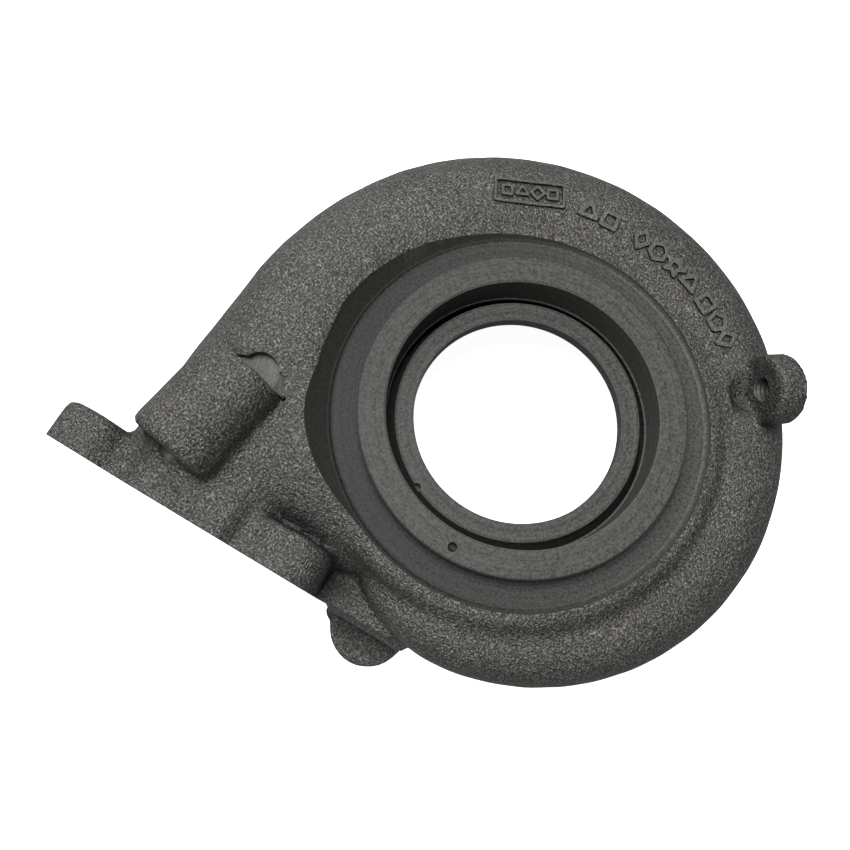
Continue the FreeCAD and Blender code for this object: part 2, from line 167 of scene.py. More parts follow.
# Outlet flange
OUTLET_RADIUS = 65.0
OUTLET_THICK = 12.0
OUTLET_STOCK = 3.0
OUTLET_EDGE = 1.6
OUTLET_EAR_CIRCLE = 73.9
OUTLET_EAR_RADIUS = 12.5
OUTLET_EARS = 4
OUTLET_EAR_ANGLE = 264.4
OUTLET_BOLT_DEPTH = 10.0

# Bosses and pad
BOSS_RADIUS = 13.3
BOSS_LENGTH = 30.3
BOSS_TURN = 9.4
BOSS_EDGE = 2.2
BOSS_FILLET = 3.0
BOSS_FILLET_END = 0.2
BOSS_FILLET_FADE = 12.0
BOSS_END = Vector((-72.7, -31.7, LIP_Z + 2.4))
BOSS_HOLE_RADIUS = 3.5
SPOT_RADIUS = 14.1
SPOT_REACH = 1.3
SPOT_FLOOR_Z = 61.6
SPOT_MILL_PASSES = ((2.6, 2.6, 5.4), (4.6, -2.2, 8.7), (0.0, -3.5, 7.8))
SPOT_MILL_HEIGHT = 30.0
SPOT_MILL_STEPS = 48
SIDE_RADIUS = 10.5
SIDE_ANGLE = 36.7
SIDE_TILT = 8.0
SIDE_FACE_RADIUS = 71.8
SIDE_LENGTH = 8.7
SIDE_DEPTH = 2.0
SIDE_EDGE = 1.0
SIDE_FOOT_WIDTH = 15.0
SIDE_FOOT_DEPTH = 20.0
SIDE_FOOT_INSET = 1.5
SIDE_FOOT_CORNER = 2.0
SIDE_RELIEF_RADIUS = 7.5
SIDE_RELIEF_REACH = 6.0
SIDE_RELIEF_EDGE = 1.5
THREAD_CORE = 3.4
THREAD_MAJOR = 4.0
THREAD_PITCH = 1.5
THREAD_STEPS = 8
PAD_LEFT = -21.5
PAD_RIGHT = 5.2
PAD_FACE_Y = -75.3
PAD_BACK_Y = -50.0
PAD_TOP_Z = 38.0
PAD_FOOT_Z = 10.0
PAD_EDGE = 2.0
SHELF_LEFT = -22.0
SHELF_RIGHT = 2.0
SHELF_FACE_Y = -77.4
SHELF_FOOT_Z = 2.0
LINK_LEFT = -33.0
LINK_RIGHT = 0.0
LINK_FACE_Y = -74.0
LINK_TOP_Z = 40.0
LINK_FOOT_Z = 24.0
LINK_EDGE = 0.8
DOWEL_RADIUS = 1.35
DOWEL_DEPTH = 5.0
DOWEL_CIRCLE = 44.2
DOWEL_ANGLE = 271.9
NOTCH_RADIUS = 1.2
NOTCH_ANGLE = 245.0
NOTCH_DEPTH = 3.0

# Raised marks: shape and angle of each, on one circle
MARK_RADIUS = 68.6
MARK_SIZE = 3.2
MARK_STROKE = 0.72
MARK_RAISE = 0.85
MARK_SINK = 0.9
MARKS = (("triangle", 101.0), ("square", 95.1), ("diamond", 85.5), ("hexagon", 80.2),
         ("star", 74.6), ("triangle", 69.0), ("square", 62.2), ("pentagon", 56.6), ("diamond", 51.6))
PLATE_ANGLE = 116.9
PLATE_RADIUS = 70.0
PLATE_LENGTH = 21.5
PLATE_WIDTH = 7.4
PLATE_BAND = 0.5
PLATE_SHAPE_SIZE = 2.1
MARK_VOXEL = 0.3
PLATE_PLACES = (-0.66, -0.22, 0.22, 0.66)
MARK_TOP_SLOPE = 0.6
MARK_SECTOR = (50.0, 90.0, PLATE_ANGLE + 10)
MARK_DEPTH = 15.0
MARK_FAR = 9.0

# Meshing
VOXEL = 1.25
GRID_LOW = (-118.0, -92.0, -4.0)
GRID_HIGH = (91.0, 95.0, 84.0)
SHARP_ANGLE = 32

# Which turned faces take which lighter or darker copy of the turned iron: slope of a wall, level of a
# flat face, and their reach
STEEP = 0.8
LEVEL = 0.9995
TURNED_RADIUS = HUB_RADIUS + 8
TURNED_FOOT_Z = 1.0

# Cast iron: place and colour of each step of the grain, scales per metre, painted shade in the
# corners
GRAIN_STEPS = [(0.34, (0.022, 0.021, 0.020)), (0.50, (0.068, 0.066, 0.062)),
               (0.62, (0.15, 0.145, 0.135)), (0.74, (0.34, 0.33, 0.31))]
EVEN_IRON = (0.085, 0.083, 0.078)
GRAIN_SCALE = 1700.0
PIT_SCALE = 420.0
BLOTCH_SCALE = 45.0
CORNER_SHADE_REACH = 0.016
CORNER_SHADE_STEPS = [(0.40, 0.12), (0.85, 1.0)]
IRON_ROUGHNESS = 0.5

# Turned iron: dark and light colour, and how far painted shade darkens the duct's side
TURNED = {
    "machined_face": ((0.040, 0.0395, 0.0375), (0.085, 0.084, 0.079), None),
    # wall, lip and floor are darker copies of the face iron (painted shade); recess is a lighter copy
    # (painted light)
    "machined_wall": ((0.030, 0.030, 0.028), (0.055, 0.055, 0.050), None),
    "machined_recess": ((0.06, 0.059, 0.056), (0.11, 0.109, 0.103), None),
    "machined_lip": ((0.026, 0.0255, 0.024), (0.082, 0.081, 0.076), 0.6),
    "machined_floor": ((0.020, 0.0195, 0.0185), (0.066, 0.065, 0.062), 0.3),
}
RING_SCALE = 2200.0
SPECK_SCALE = 1300.0
PAINTED_SHADE_SIDE = (0.86, 0.50, 0.0)
PAINTED_SHADE_BAND = 0.045

# Studio: camera as in the photograph, in millimetres, then lamps and floor, in metres
CAM_RIGHT = (0.861989, 0.501737, 0.072351)
CAM_UP = (-0.503475, 0.830729, 0.237491)
CAM_PLACE = (-8.29, -75.352, 290.579)
FOCAL_PIXELS = 836.86
IMAGE_PIXELS = 850.0
SENSOR_WIDTH = 36.0
LAMP_AIM = (0, 0, 0.04)
LAMPS = (("top", (-0.45, 0.50, 0.60), 0.35, 2.0),
         ("overhead", (-0.22, -0.02, 0.91), 0.6, 13.0))
WORLD_LIGHT = 0.08
STAGE_REACH = 3.0
STAGE_GREY = 0.86
STAGE_GLOW = 0.96
STAGE_BOUNCE = 0.3


def polar(radius, angle, z=0.0):
    turn = math.radians(angle)
    return Vector((radius * math.cos(turn), radius * math.sin(turn), z))


def side_axis():
    tilt = math.radians(SIDE_TILT)
    return polar(math.cos(tilt), SIDE_ANGLE, -math.sin(tilt))


def boss_axis():
    turn = math.radians(BOSS_TURN)
    return Vector((math.sin(turn), math.cos(turn), 0))


# Distance fields, in millimetres: negative inside, positive outside

def blend(a, b, radius):
    """Union of two fields with a fillet of about this radius."""
    h = np.clip(0.5 + 0.5 * (b - a) / radius, 0, 1)
    return b + (a - b) * h - radius * h * (1 - h)


def oval(across, up, half_width, half_height):
    """Distance to a superellipse, right at its skin."""
    u = np.abs(across) / half_width + TINY
    v = np.abs(up) / half_height + TINY
    size = (u ** OVAL_POWER + v ** OVAL_POWER) ** (1 / OVAL_POWER)
    slope = np.hypot(u ** (OVAL_POWER - 1) / half_width, v ** (OVAL_POWER - 1) / half_height)
    return (size - 1) * size ** (OVAL_POWER - 1) / slope


def rounded_box(a, b, half_a, half_b, corner):
    """Distance in a plane to a rectangle with round corners."""
    over_a = np.abs(a) - half_a + corner
    over_b = np.abs(b) - half_b + corner
    outside = np.hypot(np.maximum(over_a, 0), np.maximum(over_b, 0))
    return outside + np.minimum(np.maximum(over_a, over_b), 0) - corner


def slab_of(outline, along, low, high, edge):
    """Outline drawn out from low to high, its edges rounded."""
    over_a = outline + edge
    over_b = np.abs(along - (low + high) / 2) - (high - low) / 2 + edge
    outside = np.hypot(np.maximum(over_a, 0), np.maximum(over_b, 0))
    return outside + np.minimum(np.maximum(over_a, over_b), 0) - edge


def rod(grid, start, axis, length, radius, edge):
    """Round rod from start along axis, its edges rounded."""
    rel = [grid[i] - start[i] for i in range(3)]
    along = sum(rel[i] * axis[i] for i in range(3))
    square = sum(rel[i] ** 2 for i in range(3)) - along ** 2
    return slab_of(np.sqrt(np.maximum(square, 0)) - radius, along, 0, length, edge)


def through(stations, values, where):
    """Smooth curve through one value per station."""
    return np.polyval(np.polyfit(stations, values, len(stations) - 1), where)


def scroll_field(x, y, z, wall):
    """The spiral tube, its skin moved inward by wall."""
    radius = np.hypot(x, y)
    turn = (180 - np.degrees(np.arctan2(y, x))) % 360
    turn = np.where(turn > (SCROLL_END_TURN + 360) / 2, turn - 360, turn)
    law = np.clip(turn, 0, SCROLL_END_TURN)
    share = law / SCROLL_TURN
    outer = SCROLL_RADIUS - SCROLL_RATE * law - SCROLL_CURVE * law ** 2
    outer = outer + SCROLL_FLARE * np.clip(1 - law / SCROLL_FLARE_TURN, 0, 1) ** 2
    half_width = (WIDTH_START + (WIDTH_END - WIDTH_START) * share) / 2
    crown = CROWN_END + (CROWN_START - CROWN_END) * (1 - law / CROWN_TURN) ** 2
    bottom = BOTTOM_START + (BOTTOM_END - BOTTOM_START) * share
    half_height = (crown + bottom) / 2
    end = SCROLL_END_TURN if not wall else SCROLL_TURN
    late = np.clip((law - SCROLL_TURN) / (SCROLL_END_TURN - SCROLL_TURN), 0, 1)
    shrink = 1 - SCROLL_END_SHRINK * late ** 1.5
    centre_z = LIP_Z + (crown - bottom) / 2
    skin = oval(radius - outer + half_width, z - centre_z, (half_width - wall) * shrink,
                (half_height - wall) * shrink)
    past_end = np.radians(turn - end) * radius
    before_start = np.radians(-turn) * radius - SEAM
    return np.maximum(skin, np.maximum(past_end, before_start))


def duct_field(x, y, z):
    along = np.clip(y, DUCT_Y[-1], DUCT_Y[0])
    left = through(DUCT_Y, DUCT_LEFT, along)
    right = through(DUCT_Y, DUCT_RIGHT, along)
    half_height = (CROWN_START + BOTTOM_START) / 2
    sag = through(DUCT_Y, DUCT_SAG, along)
    centre_z = LIP_Z + (CROWN_START - BOTTOM_START) / 2 - sag
    skin = oval(x - (left + right) / 2, z - centre_z, (right - left) / 2, half_height - sag)
    return np.maximum(skin, np.maximum(FLANGE_Y - STOCK - y, y - SEAM))


def gas_duct_field(x, y, z):
    stations = GAS_Y[::-1]
    left, right, centre_z, half_height = (
        np.interp(y, stations, values[::-1])
        for values in (GAS_LEFT, GAS_RIGHT, GAS_CENTRE_Z, GAS_HALF_HEIGHT))
    skin = oval(x - (left + right) / 2, z - centre_z, (right - left) / 2, half_height)
    return np.maximum(skin, y - SEAM)


def saddle_field(x, y, z):
    along = np.clip(x, SADDLE_X[0], SADDLE_X[-1])
    top = through(SADDLE_X, SADDLE_TOP, along)
    rear = through(SADDLE_X, SADDLE_REAR, along)
    front = through(SADDLE_X, SADDLE_FRONT, along)
    skin = oval(y - (rear + front) / 2, z - LIP_Z - (top + SADDLE_BOTTOM) / 2,
                (rear - front) / 2, (top - SADDLE_BOTTOM) / 2)
    return np.maximum(skin, np.maximum(SADDLE_X[0] - x, x - SADDLE_X[-1]))


def hub_field(x, y, z):
    radius = np.hypot(x, y)
    body = slab_of(radius - HUB_RADIUS, z, HUB_FOOT_Z, LIP_Z - HUB_TOP_DEPTH, HUB_ROUND)
    lip = slab_of(radius - LIP_RADIUS - STOCK, z, 0.0, LIP_Z + STOCK, LIP_EDGE)
    return np.minimum(body, lip)


def outlet_flange_field(x, y, z):
    outline = np.hypot(x, y) - OUTLET_RADIUS
    for index in range(OUTLET_EARS):
        centre = polar(OUTLET_EAR_CIRCLE, OUTLET_EAR_ANGLE + index * 360 / OUTLET_EARS)
        share = np.clip((x * centre.x + y * centre.y) / OUTLET_EAR_CIRCLE ** 2, 0, 1)
        ear = np.hypot(x - centre.x * share, y - centre.y * share) - OUTLET_EAR_RADIUS
        outline = blend(outline, ear, OUTLET_EAR_FILLET)
    return slab_of(outline, z, -OUTLET_STOCK, OUTLET_THICK, OUTLET_EDGE)


def inlet_flange_field(x, y, z):
    across = x - FLANGE_X
    up = z - FLANGE_Z
    web = rounded_box(across, up, FLANGE_LENGTH / 2 - WEB_INSET, FLANGE_HEIGHT / 2 - SCALLOP,
                      WEB_CORNER)
    rim = rounded_box(across, up, RIM_WIDTH / 2, (FLANGE_HEIGHT + RIM_EXTRA) / 2, RIM_CORNER)
    outline = blend(web, rim, INLET_EAR_FILLET)
    for side, width, corner in EARS:
        place = across - side * (FLANGE_LENGTH - width) / 2
        ear = rounded_box(place, up, width / 2, FLANGE_HEIGHT / 2, corner)
        outline = blend(outline, ear, INLET_EAR_FILLET)
    return slab_of(outline, y, FLANGE_Y - FLANGE_STOCK, FLANGE_Y + FLANGE_THICK, FLANGE_EDGE)


def block_field(x, y, z, low, high, edge):
    centre = [(a + b) / 2 for a, b in zip(low, high)]
    half = [(b - a) / 2 for a, b in zip(low, high)]
    plan = rounded_box(x - centre[0], y - centre[1], half[0], half[1], edge)
    return slab_of(plan, z, low[2], high[2], edge)


def bore_boss_field(x, y, z):
    """The bored boss and the radius of its fillet, which dies out at the cut end."""
    axis = boss_axis()
    start = BOSS_END - axis * BOSS_LENGTH
    boss = rod((x, y, z), start, axis, BOSS_LENGTH + STOCK, BOSS_RADIUS, BOSS_EDGE)
    to_end = (BOSS_END.x - x) * axis.x + (BOSS_END.y - y) * axis.y + 0 * z
    fade = np.clip((to_end - STOCK) / BOSS_FILLET_FADE, 0, 1)
    return boss, BOSS_FILLET_END + BOSS_FILLET * fade


def side_boss_field(x, y, z):
    face = polar(SIDE_FACE_RADIUS, SIDE_ANGLE, LIP_Z - SIDE_DEPTH)
    boss = rod((x, y, z), face, side_axis(), SIDE_LENGTH, SIDE_RADIUS, SIDE_EDGE)
    out = polar(1, SIDE_ANGLE)
    along = x * out.x + y * out.y - SIDE_FACE_RADIUS
    across = y * out.x - x * out.y
    plan = rounded_box(along - SIDE_LENGTH / 2, across, SIDE_LENGTH / 2 - SIDE_FOOT_INSET,
                       SIDE_FOOT_WIDTH / 2, SIDE_FOOT_CORNER)
    top = LIP_Z - SIDE_DEPTH
    foot = slab_of(plan, z, top - SIDE_FOOT_DEPTH, top, SIDE_EDGE)
    return blend(boss, foot, SIDE_FILLET)


def side_relief_field(x, y, z):
    """Dip in front of the threaded boss, so that its face stands clear."""
    face = polar(SIDE_FACE_RADIUS, SIDE_ANGLE, LIP_Z - SIDE_DEPTH)
    axis = side_axis()
    start = face - axis * SIDE_RELIEF_REACH
    return rod((x, y, z), start, axis, SIDE_RELIEF_REACH, SIDE_RELIEF_RADIUS,
               SIDE_RELIEF_EDGE)


def waviness(x, y, z):
    return sum(WAVE_HEIGHT * np.sin(a * x + b * y + c * z + d) for a, b, c, d in WAVES)


def cast_field(x, y, z):
    """Outer skin of the raw casting."""
    skin = np.minimum(scroll_field(x, y, z, 0), duct_field(x, y, z))
    skin = blend(skin, saddle_field(x, y, z), SADDLE_FILLET)
    skin = blend(skin, hub_field(x, y, z), HUB_FILLET)
    skin = blend(skin, outlet_flange_field(x, y, z), OUTLET_FILLET)
    skin = blend(skin, inlet_flange_field(x, y, z), INLET_FILLET)
    pad = block_field(x, y, z, (PAD_LEFT, PAD_FACE_Y, PAD_FOOT_Z),
                      (PAD_RIGHT, PAD_BACK_Y, PAD_TOP_Z), PAD_EDGE)
    link = block_field(x, y, z, (LINK_LEFT, LINK_FACE_Y, LINK_FOOT_Z),
                       (LINK_RIGHT, PAD_BACK_Y, LINK_TOP_Z), LINK_EDGE)
    shelf = block_field(x, y, z, (SHELF_LEFT, SHELF_FACE_Y, SHELF_FOOT_Z),
                        (SHELF_RIGHT, PAD_BACK_Y, OUTLET_THICK), PAD_EDGE)
    skin = blend(skin, shelf, SHELF_FILLET)
    skin = blend(skin, blend(pad, link, LINK_FILLET), PAD_FILLET)
    skin = blend(skin, *bore_boss_field(x, y, z))
    skin = blend(skin, side_boss_field(x, y, z), SIDE_FILLET)
    skin = -blend(-skin, side_relief_field(x, y, z), RELIEF_FILLET)
    return skin + waviness(x, y, z)


def gas_way_field(x, y, z):
    return blend(scroll_field(x, y, z, WALL), gas_duct_field(x, y, z), GAS_FILLET)


def grid_axes(low, high, step):
    counts = [int(round((b - a) / step)) + 1 for a, b in zip(low, high)]
    axes = [np.linspace(a, a + step * (n - 1), n) for a, n in zip(low, counts)]
    return [axis.reshape([-1 if i == j else 1 for j in range(3)]) for i, axis in enumerate(axes)]


def mesh_field(name, field, low, step):
    """Mesh of a field's zero surface, in metres."""
    volume = openvdb.FloatGrid(background=3 * step)
    volume.copyFromArray(np.ascontiguousarray(field, dtype=np.float32))
    points, triangles, quads = volume.convertToPolygons(isovalue=0.0, adaptivity=0.0)
    points = (points * step + np.array(low)) * MM
    mesh = bpy.data.meshes.new(name)
    mesh.from_pydata(points.tolist(), [], quads.tolist() + triangles.tolist())
    mesh.validate()
    return new_object(name, mesh)


def new_object(name, mesh):
    obj = bpy.data.objects.new(name, mesh)
    bpy.context.scene.collection.objects.link(obj)
    return obj


# The raised marks

def turn_points(count, radius, start=90.0, inner=None):
    """Corners of a polygon, or of a star if an inner radius is given."""
    steps = count * (2 if inner else 1)
    return [(r * math.cos(a), r * math.sin(a)) for a, r in
            ((math.radians(start + 360 * i / steps), inner if inner and i % 2 else radius)
             for i in range(steps))]


def line_distance(u, v, points):
    ends = points[1:] + points[:1]
    nearest = np.inf
    for (au, av), (bu, bv) in zip(points, ends):
        du, dv = bu - au, bv - av
        share = np.clip(((u - au) * du + (v - av) * dv) / (du * du + dv * dv), 0, 1)
        nearest = np.minimum(nearest, np.hypot(u - au - share * du, v - av - share * dv))
    return nearest


def mark_outline(shape, u, v):
    size = MARK_SIZE
    if shape == "triangle":
        return line_distance(u, v, turn_points(3, size))
    if shape == "square":
        return line_distance(u, v, turn_points(4, size, 45))
    if shape == "diamond":
        return line_distance(u, v, [(0, size), (0.7 * size, 0), (0, -size), (-0.7 * size, 0)])
    if shape == "hexagon":
        return line_distance(u, v, turn_points(6, 0.9 * size))
    if shape == "star":
        return line_distance(u, v, turn_points(5, size, inner=0.45 * size))
    return line_distance(u, v, turn_points(5, 0.9 * size))


def plate_outline(u, v):
    frame_box = [(a * PLATE_LENGTH / 2, b * PLATE_WIDTH / 2)
                 for a, b in ((-1, -1), (1, -1), (1, 1), (-1, 1))]
    outline = line_distance(u, v, frame_box) - PLATE_BAND
    size = PLATE_SHAPE_SIZE
    shapes = (turn_points(4, size, 45), turn_points(3, size), turn_points(4, size),
              turn_points(4, size, 45))
    for place, corners in zip(PLATE_PLACES, shapes):
        outline = np.minimum(outline, line_distance(u - place * PLATE_LENGTH / 2, v, corners)
                             - PLATE_BAND)
    return outline


def marks_field(x, y, z):
    """All marks as one field: plan outlines, raised a little from the cast skin."""
    plan = np.full(np.broadcast(x, y).shape, MARK_FAR)
    spots = [(PLATE_ANGLE, PLATE_RADIUS, plate_outline)]
    spots += [(angle, MARK_RADIUS, lambda u, v, shape=shape: mark_outline(shape, u, v) - MARK_STROKE)
              for shape, angle in MARKS]
    for angle, radius, outline in spots:
        out = polar(1, angle)
        v = x * out.x + y * out.y - radius
        u = x * out.y - y * out.x
        plan = np.minimum(plan, outline(u, v))
    skin = cast_field(x, y, z)
    return np.maximum(plan, np.maximum(skin - MARK_RAISE, -skin - MARK_SINK))


def add_marks(body):
    spread = (PLATE_RADIUS + PLATE_WIDTH, MARK_RADIUS - MARK_SIZE * 1.5)
    corners = [polar(r, a) for r in spread for a in MARK_SECTOR]
    low = (min(c.x for c in corners), min(c.y for c in corners), LIP_Z - MARK_DEPTH)
    high = (max(c.x for c in corners), max(c.y for c in corners), LIP_Z + 1)
    x, y, z = grid_axes(low, high, MARK_VOXEL)
    marks = mesh_field("raised_marks", marks_field(x, y, z), low, MARK_VOXEL)
    # Painted light and shade: the tops of the marks take a lighter copy of the cast iron, their sides
    # a darker one
    marks.data.materials.append(cast_material("raised_top_painted_light", 1.5, 0.45))
    marks.data.materials.append(cast_material("raised_side_painted_shade", 0.45, 0.3))
    for polygon in marks.data.polygons:
        polygon.material_index = 0 if polygon.normal.z > MARK_TOP_SLOPE else 1
    combine(body, marks, "UNION")


# Cutters for the machined faces and holes

def lathe(name, profile, origin=Vector((0, 0, 0)), axis=Vector((0, 0, 1)), segments=192, ripple=None):
    """Closed solid of revolution from (radius, distance) points that start and end on the axis."""
    turn = axis.to_track_quat("Z", "Y").to_matrix()
    verts = [origin + turn @ Vector((0, 0, profile[0][1]))]
    for radius, along in profile[1:-1]:
        for k in range(segments):
            angle = 2 * math.pi * k / segments
            r = radius + (ripple(along, angle) if ripple else 0)
            verts.append(origin + turn @ Vector((r * math.cos(angle), r * math.sin(angle), along)))
    verts.append(origin + turn @ Vector((0, 0, profile[-1][1])))
    faces = []
    rings = len(profile) - 2
    last = len(verts) - 1
    for k in range(segments):
        n = (k + 1) % segments
        faces.append((0, 1 + n, 1 + k))
        for i in range(rings - 1):
            a = 1 + i * segments
            b = a + segments
            faces.append((a + k, a + n, b + n, b + k))
        tail = 1 + (rings - 1) * segments
        faces.append((tail + k, tail + n, last))
    mesh = bpy.data.meshes.new(name)
    mesh.from_pydata([(v * MM)[:] for v in verts], [], faces)
    volume = sum(f.area * f.center.dot(f.normal) for f in mesh.polygons)
    if volume < 0:
        mesh.flip_normals()
    return new_object(name, mesh)


def drill(name, start, axis, length, radius, segments=64):
    return lathe(name, [(0, 0), (radius, 0), (radius, length), (0, length)], start, axis, segments)


def box_cutter(name, low, high):
    mesh = bpy.data.meshes.new(name)
    corners = [(x * MM, y * MM, z * MM) for z in (low[2], high[2])
               for y in (low[1], high[1]) for x in (low[0], high[0])]
    mesh.from_pydata(corners, [], [(0, 2, 3, 1), (4, 5, 7, 6), (0, 1, 5, 4), (2, 6, 7, 3),
                                   (0, 4, 6, 2), (1, 3, 7, 5)])
    return new_object(name, mesh)


def spot_cutter(across, along, radius):
    """One round of the end mill, which stops at the boss's end and leaves a flat floor."""
    axis = boss_axis()
    side = Vector((axis.y, -axis.x, 0))
    reach = math.sqrt(radius ** 2 - along ** 2)
    first = math.atan2(-along, reach)
    turns = [first + (math.pi - 2 * first) * i / SPOT_MILL_STEPS for i in range(SPOT_MILL_STEPS + 1)]
    plan = [BOSS_END + side * (across + radius * math.cos(t))
            + axis * (along + radius * math.sin(t)) for t in turns]
    count = len(plan)
    heights = (SPOT_FLOOR_Z, SPOT_FLOOR_Z + SPOT_MILL_HEIGHT)
    verts = [(p.x * MM, p.y * MM, z * MM) for z in heights for p in plan]
    faces = [tuple(reversed(range(count))), tuple(range(count, 2 * count))]
    faces += [(i, (i + 1) % count, count + (i + 1) % count, count + i) for i in range(count)]
    mesh = bpy.data.meshes.new("cut_spot_floor")
    mesh.from_pydata(verts, [], faces)
    return new_object("cut_spot_floor", mesh)


def turned_cutters():
    """Clearance round the lip, bearing recess with the throat, and outlet, as turned solids."""
    floor = LIP_Z - FLOOR_DEPTH
    spread = FLOOR_REACH / math.tan(math.radians(FLOOR_WALL_ANGLE))
    steps = [math.radians(FLOOR_WALL_ANGLE * i / COVE_STEPS) for i in range(COVE_STEPS + 1)]
    start = FLOOR_RADIUS - COVE_RADIUS * math.tan(math.radians(FLOOR_WALL_ANGLE / 2))
    cove = [(start + COVE_RADIUS * math.sin(a), floor + COVE_RADIUS * (1 - math.cos(a)))
            for a in steps]
    clearance = lathe("cut_clearance", [
        (0, LIP_Z),
        (LIP_RADIUS - LIP_CHAMFER, LIP_Z),
        (LIP_RADIUS, LIP_Z - LIP_CHAMFER),
        (LIP_RADIUS, LIP_Z - LIP_THICKNESS),
        (LIP_GROOVE_RADIUS, LIP_Z - LIP_THICKNESS - LIP_GROOVE_SLOPE_DROP),
        (LIP_GROOVE_RADIUS, floor),
        *cove,
        (FLOOR_RADIUS + spread, floor + FLOOR_REACH),
        (0, floor + FLOOR_REACH),
    ])
    ledge = LIP_Z - LEDGE_DEPTH
    land_foot = ledge - BORE_LENGTH
    throat_drop = THROAT_DEPTH - LEDGE_DEPTH - BORE_LENGTH
    throat_inner = BORE_RADIUS + OUTLET_TAPER * throat_drop + THROAT_WALL
    recess = lathe("cut_recess", [
        (0, LIP_Z + TURN_RISE),
        (RECESS_RADIUS + RECESS_CHAMFER + TURN_RISE, LIP_Z + TURN_RISE),
        (RECESS_RADIUS, LIP_Z - RECESS_CHAMFER),
        (RECESS_RADIUS, LIP_Z - RECESS_DEPTH + RECESS_STEP_HEIGHT),
        (RECESS_RADIUS - RECESS_STEP_WIDTH, LIP_Z - RECESS_DEPTH + RECESS_STEP_HEIGHT),
        (RECESS_RADIUS - RECESS_STEP_WIDTH, LIP_Z - RECESS_DEPTH),
        (THROAT_RADIUS, LIP_Z - RECESS_DEPTH),
        (THROAT_RADIUS, LIP_Z - THROAT_DEPTH),
        (throat_inner, LIP_Z - THROAT_DEPTH),
        (LEDGE_RADIUS, land_foot),
        (LEDGE_RADIUS, ledge - BORE_CHAMFER),
        (LEDGE_RADIUS - BORE_CHAMFER, ledge),
        (0, ledge),
    ])
    wide = BORE_RADIUS + OUTLET_TAPER * land_foot
    outlet = lathe("cut_outlet", [
        (0, ledge + TURN_RISE),
        (BORE_RADIUS + BORE_CHAMFER + TURN_RISE, ledge + TURN_RISE),
        (BORE_RADIUS, ledge - BORE_CHAMFER),
        (BORE_RADIUS, land_foot),
        (wide, 0),
        (wide, -OUTLET_DROP),
        (0, -OUTLET_DROP),
    ])
    return [clearance, recess, outlet]


def thread_cutter():
    """Helical thread: a rod whose radius winds up and down along it."""
    start = polar(SIDE_FACE_RADIUS, SIDE_ANGLE, LIP_Z - SIDE_DEPTH) - side_axis() * DRILL_OVER
    length = SIDE_LENGTH + 2 * DRILL_OVER

    def ripple(along, angle):
        phase = (along / THREAD_PITCH - angle / (2 * math.pi)) % 1
        return (THREAD_MAJOR - THREAD_CORE) * (1 - abs(2 * phase - 1))

    steps = int(length / THREAD_PITCH * THREAD_STEPS)
    profile = [(0, 0)] + [(THREAD_CORE, length * i / steps) for i in range(steps + 1)] + [(0, length)]
    return lathe("cut_thread", profile, start, side_axis(), 48, ripple)


def drilled_cutters():
    cutters = [
        drill("cut_dowel", polar(DOWEL_CIRCLE, DOWEL_ANGLE, LIP_Z - DOWEL_DEPTH), Vector((0, 0, 1)),
              DOWEL_DEPTH + DRILL_OVER, DOWEL_RADIUS),
        drill("cut_notch", polar(LEDGE_RADIUS, NOTCH_ANGLE, LIP_Z - LEDGE_DEPTH - NOTCH_DEPTH),
              Vector((0, 0, 1)), NOTCH_DEPTH + DRILL_OVER, NOTCH_RADIUS),
        drill("cut_boss_bore", BOSS_END - boss_axis() * (BOSS_LENGTH + DRILL_OVER), boss_axis(),
              BOSS_LENGTH + 2 * DRILL_OVER, BOSS_HOLE_RADIUS),
        drill("cut_spot", BOSS_END, boss_axis(), SPOT_REACH, SPOT_RADIUS, 128),
        thread_cutter(),
    ]
    cutters += [spot_cutter(*mill_pass) for mill_pass in SPOT_MILL_PASSES]
    for side_x in (-1, 1):
        for side_z in (-1, 1):
            place = Vector((FLANGE_X + side_x * INLET_BOLT_X / 2, FLANGE_Y - DRILL_OVER,
                            FLANGE_Z + side_z * INLET_BOLT_Z / 2))
            cutters.append(drill("cut_inlet_bolt", place, Vector((0, 1, 0)),
                                 FLANGE_THICK + DRILL_OVER + BOLT_OUT, BOLT_RADIUS))
    for index in range(OUTLET_EARS):
        place = polar(OUTLET_EAR_CIRCLE, OUTLET_EAR_ANGLE + index * 360 / OUTLET_EARS, -DRILL_OVER)
        cutters.append(drill("cut_outlet_bolt", place, Vector((0, 0, 1)),
                             OUTLET_BOLT_DEPTH + DRILL_OVER, BOLT_RADIUS))
    return cutters


def face_cutters():
    right = FLANGE_X + FLANGE_LENGTH / 2 + DRILL_OVER
    return [box_cutter("cut_inlet_face", (-FACE_REACH, FLANGE_Y - INLET_CUT, -FACE_DROP),
                       (right, FLANGE_Y, FACE_TOP_Z)),
            box_cutter("cut_outlet_face", (-FACE_REACH, -FACE_REACH, -FACE_DROP),
                       (FACE_REACH, FACE_REACH, 0))]


def combine(body, other, operation):
    step = body.modifiers.new(other.name, "BOOLEAN")
    step.operation = operation
    step.solver = "MANIFOLD"
    step.material_mode = "TRANSFER"
    step.object = other
    evaluated = body.evaluated_get(bpy.context.evaluated_depsgraph_get())
    mesh = bpy.data.meshes.new_from_object(evaluated)
    body.modifiers.clear()
    body.data = mesh
    bpy.data.objects.remove(other)


def apply_cut(body, cutters, material):
    for cutter in cutters:
        cutter.data.materials.append(material)
        combine(body, cutter, "DIFFERENCE")


# Materials

def new_material(name):
    material = bpy.data.materials.new(name)
    material.use_nodes = True
    tree = material.node_tree
    return material, tree, tree.nodes["Principled BSDF"]


def node(tree, kind, inputs=None, **settings):
    made = tree.nodes.new(kind)
    for key, value in settings.items():
        setattr(made, key, value)
    for key, value in (inputs or {}).items():
        if isinstance(value, bpy.types.NodeSocket):
            tree.links.new(value, made.inputs[key])
        else:
            made.inputs[key].default_value = value
    return made


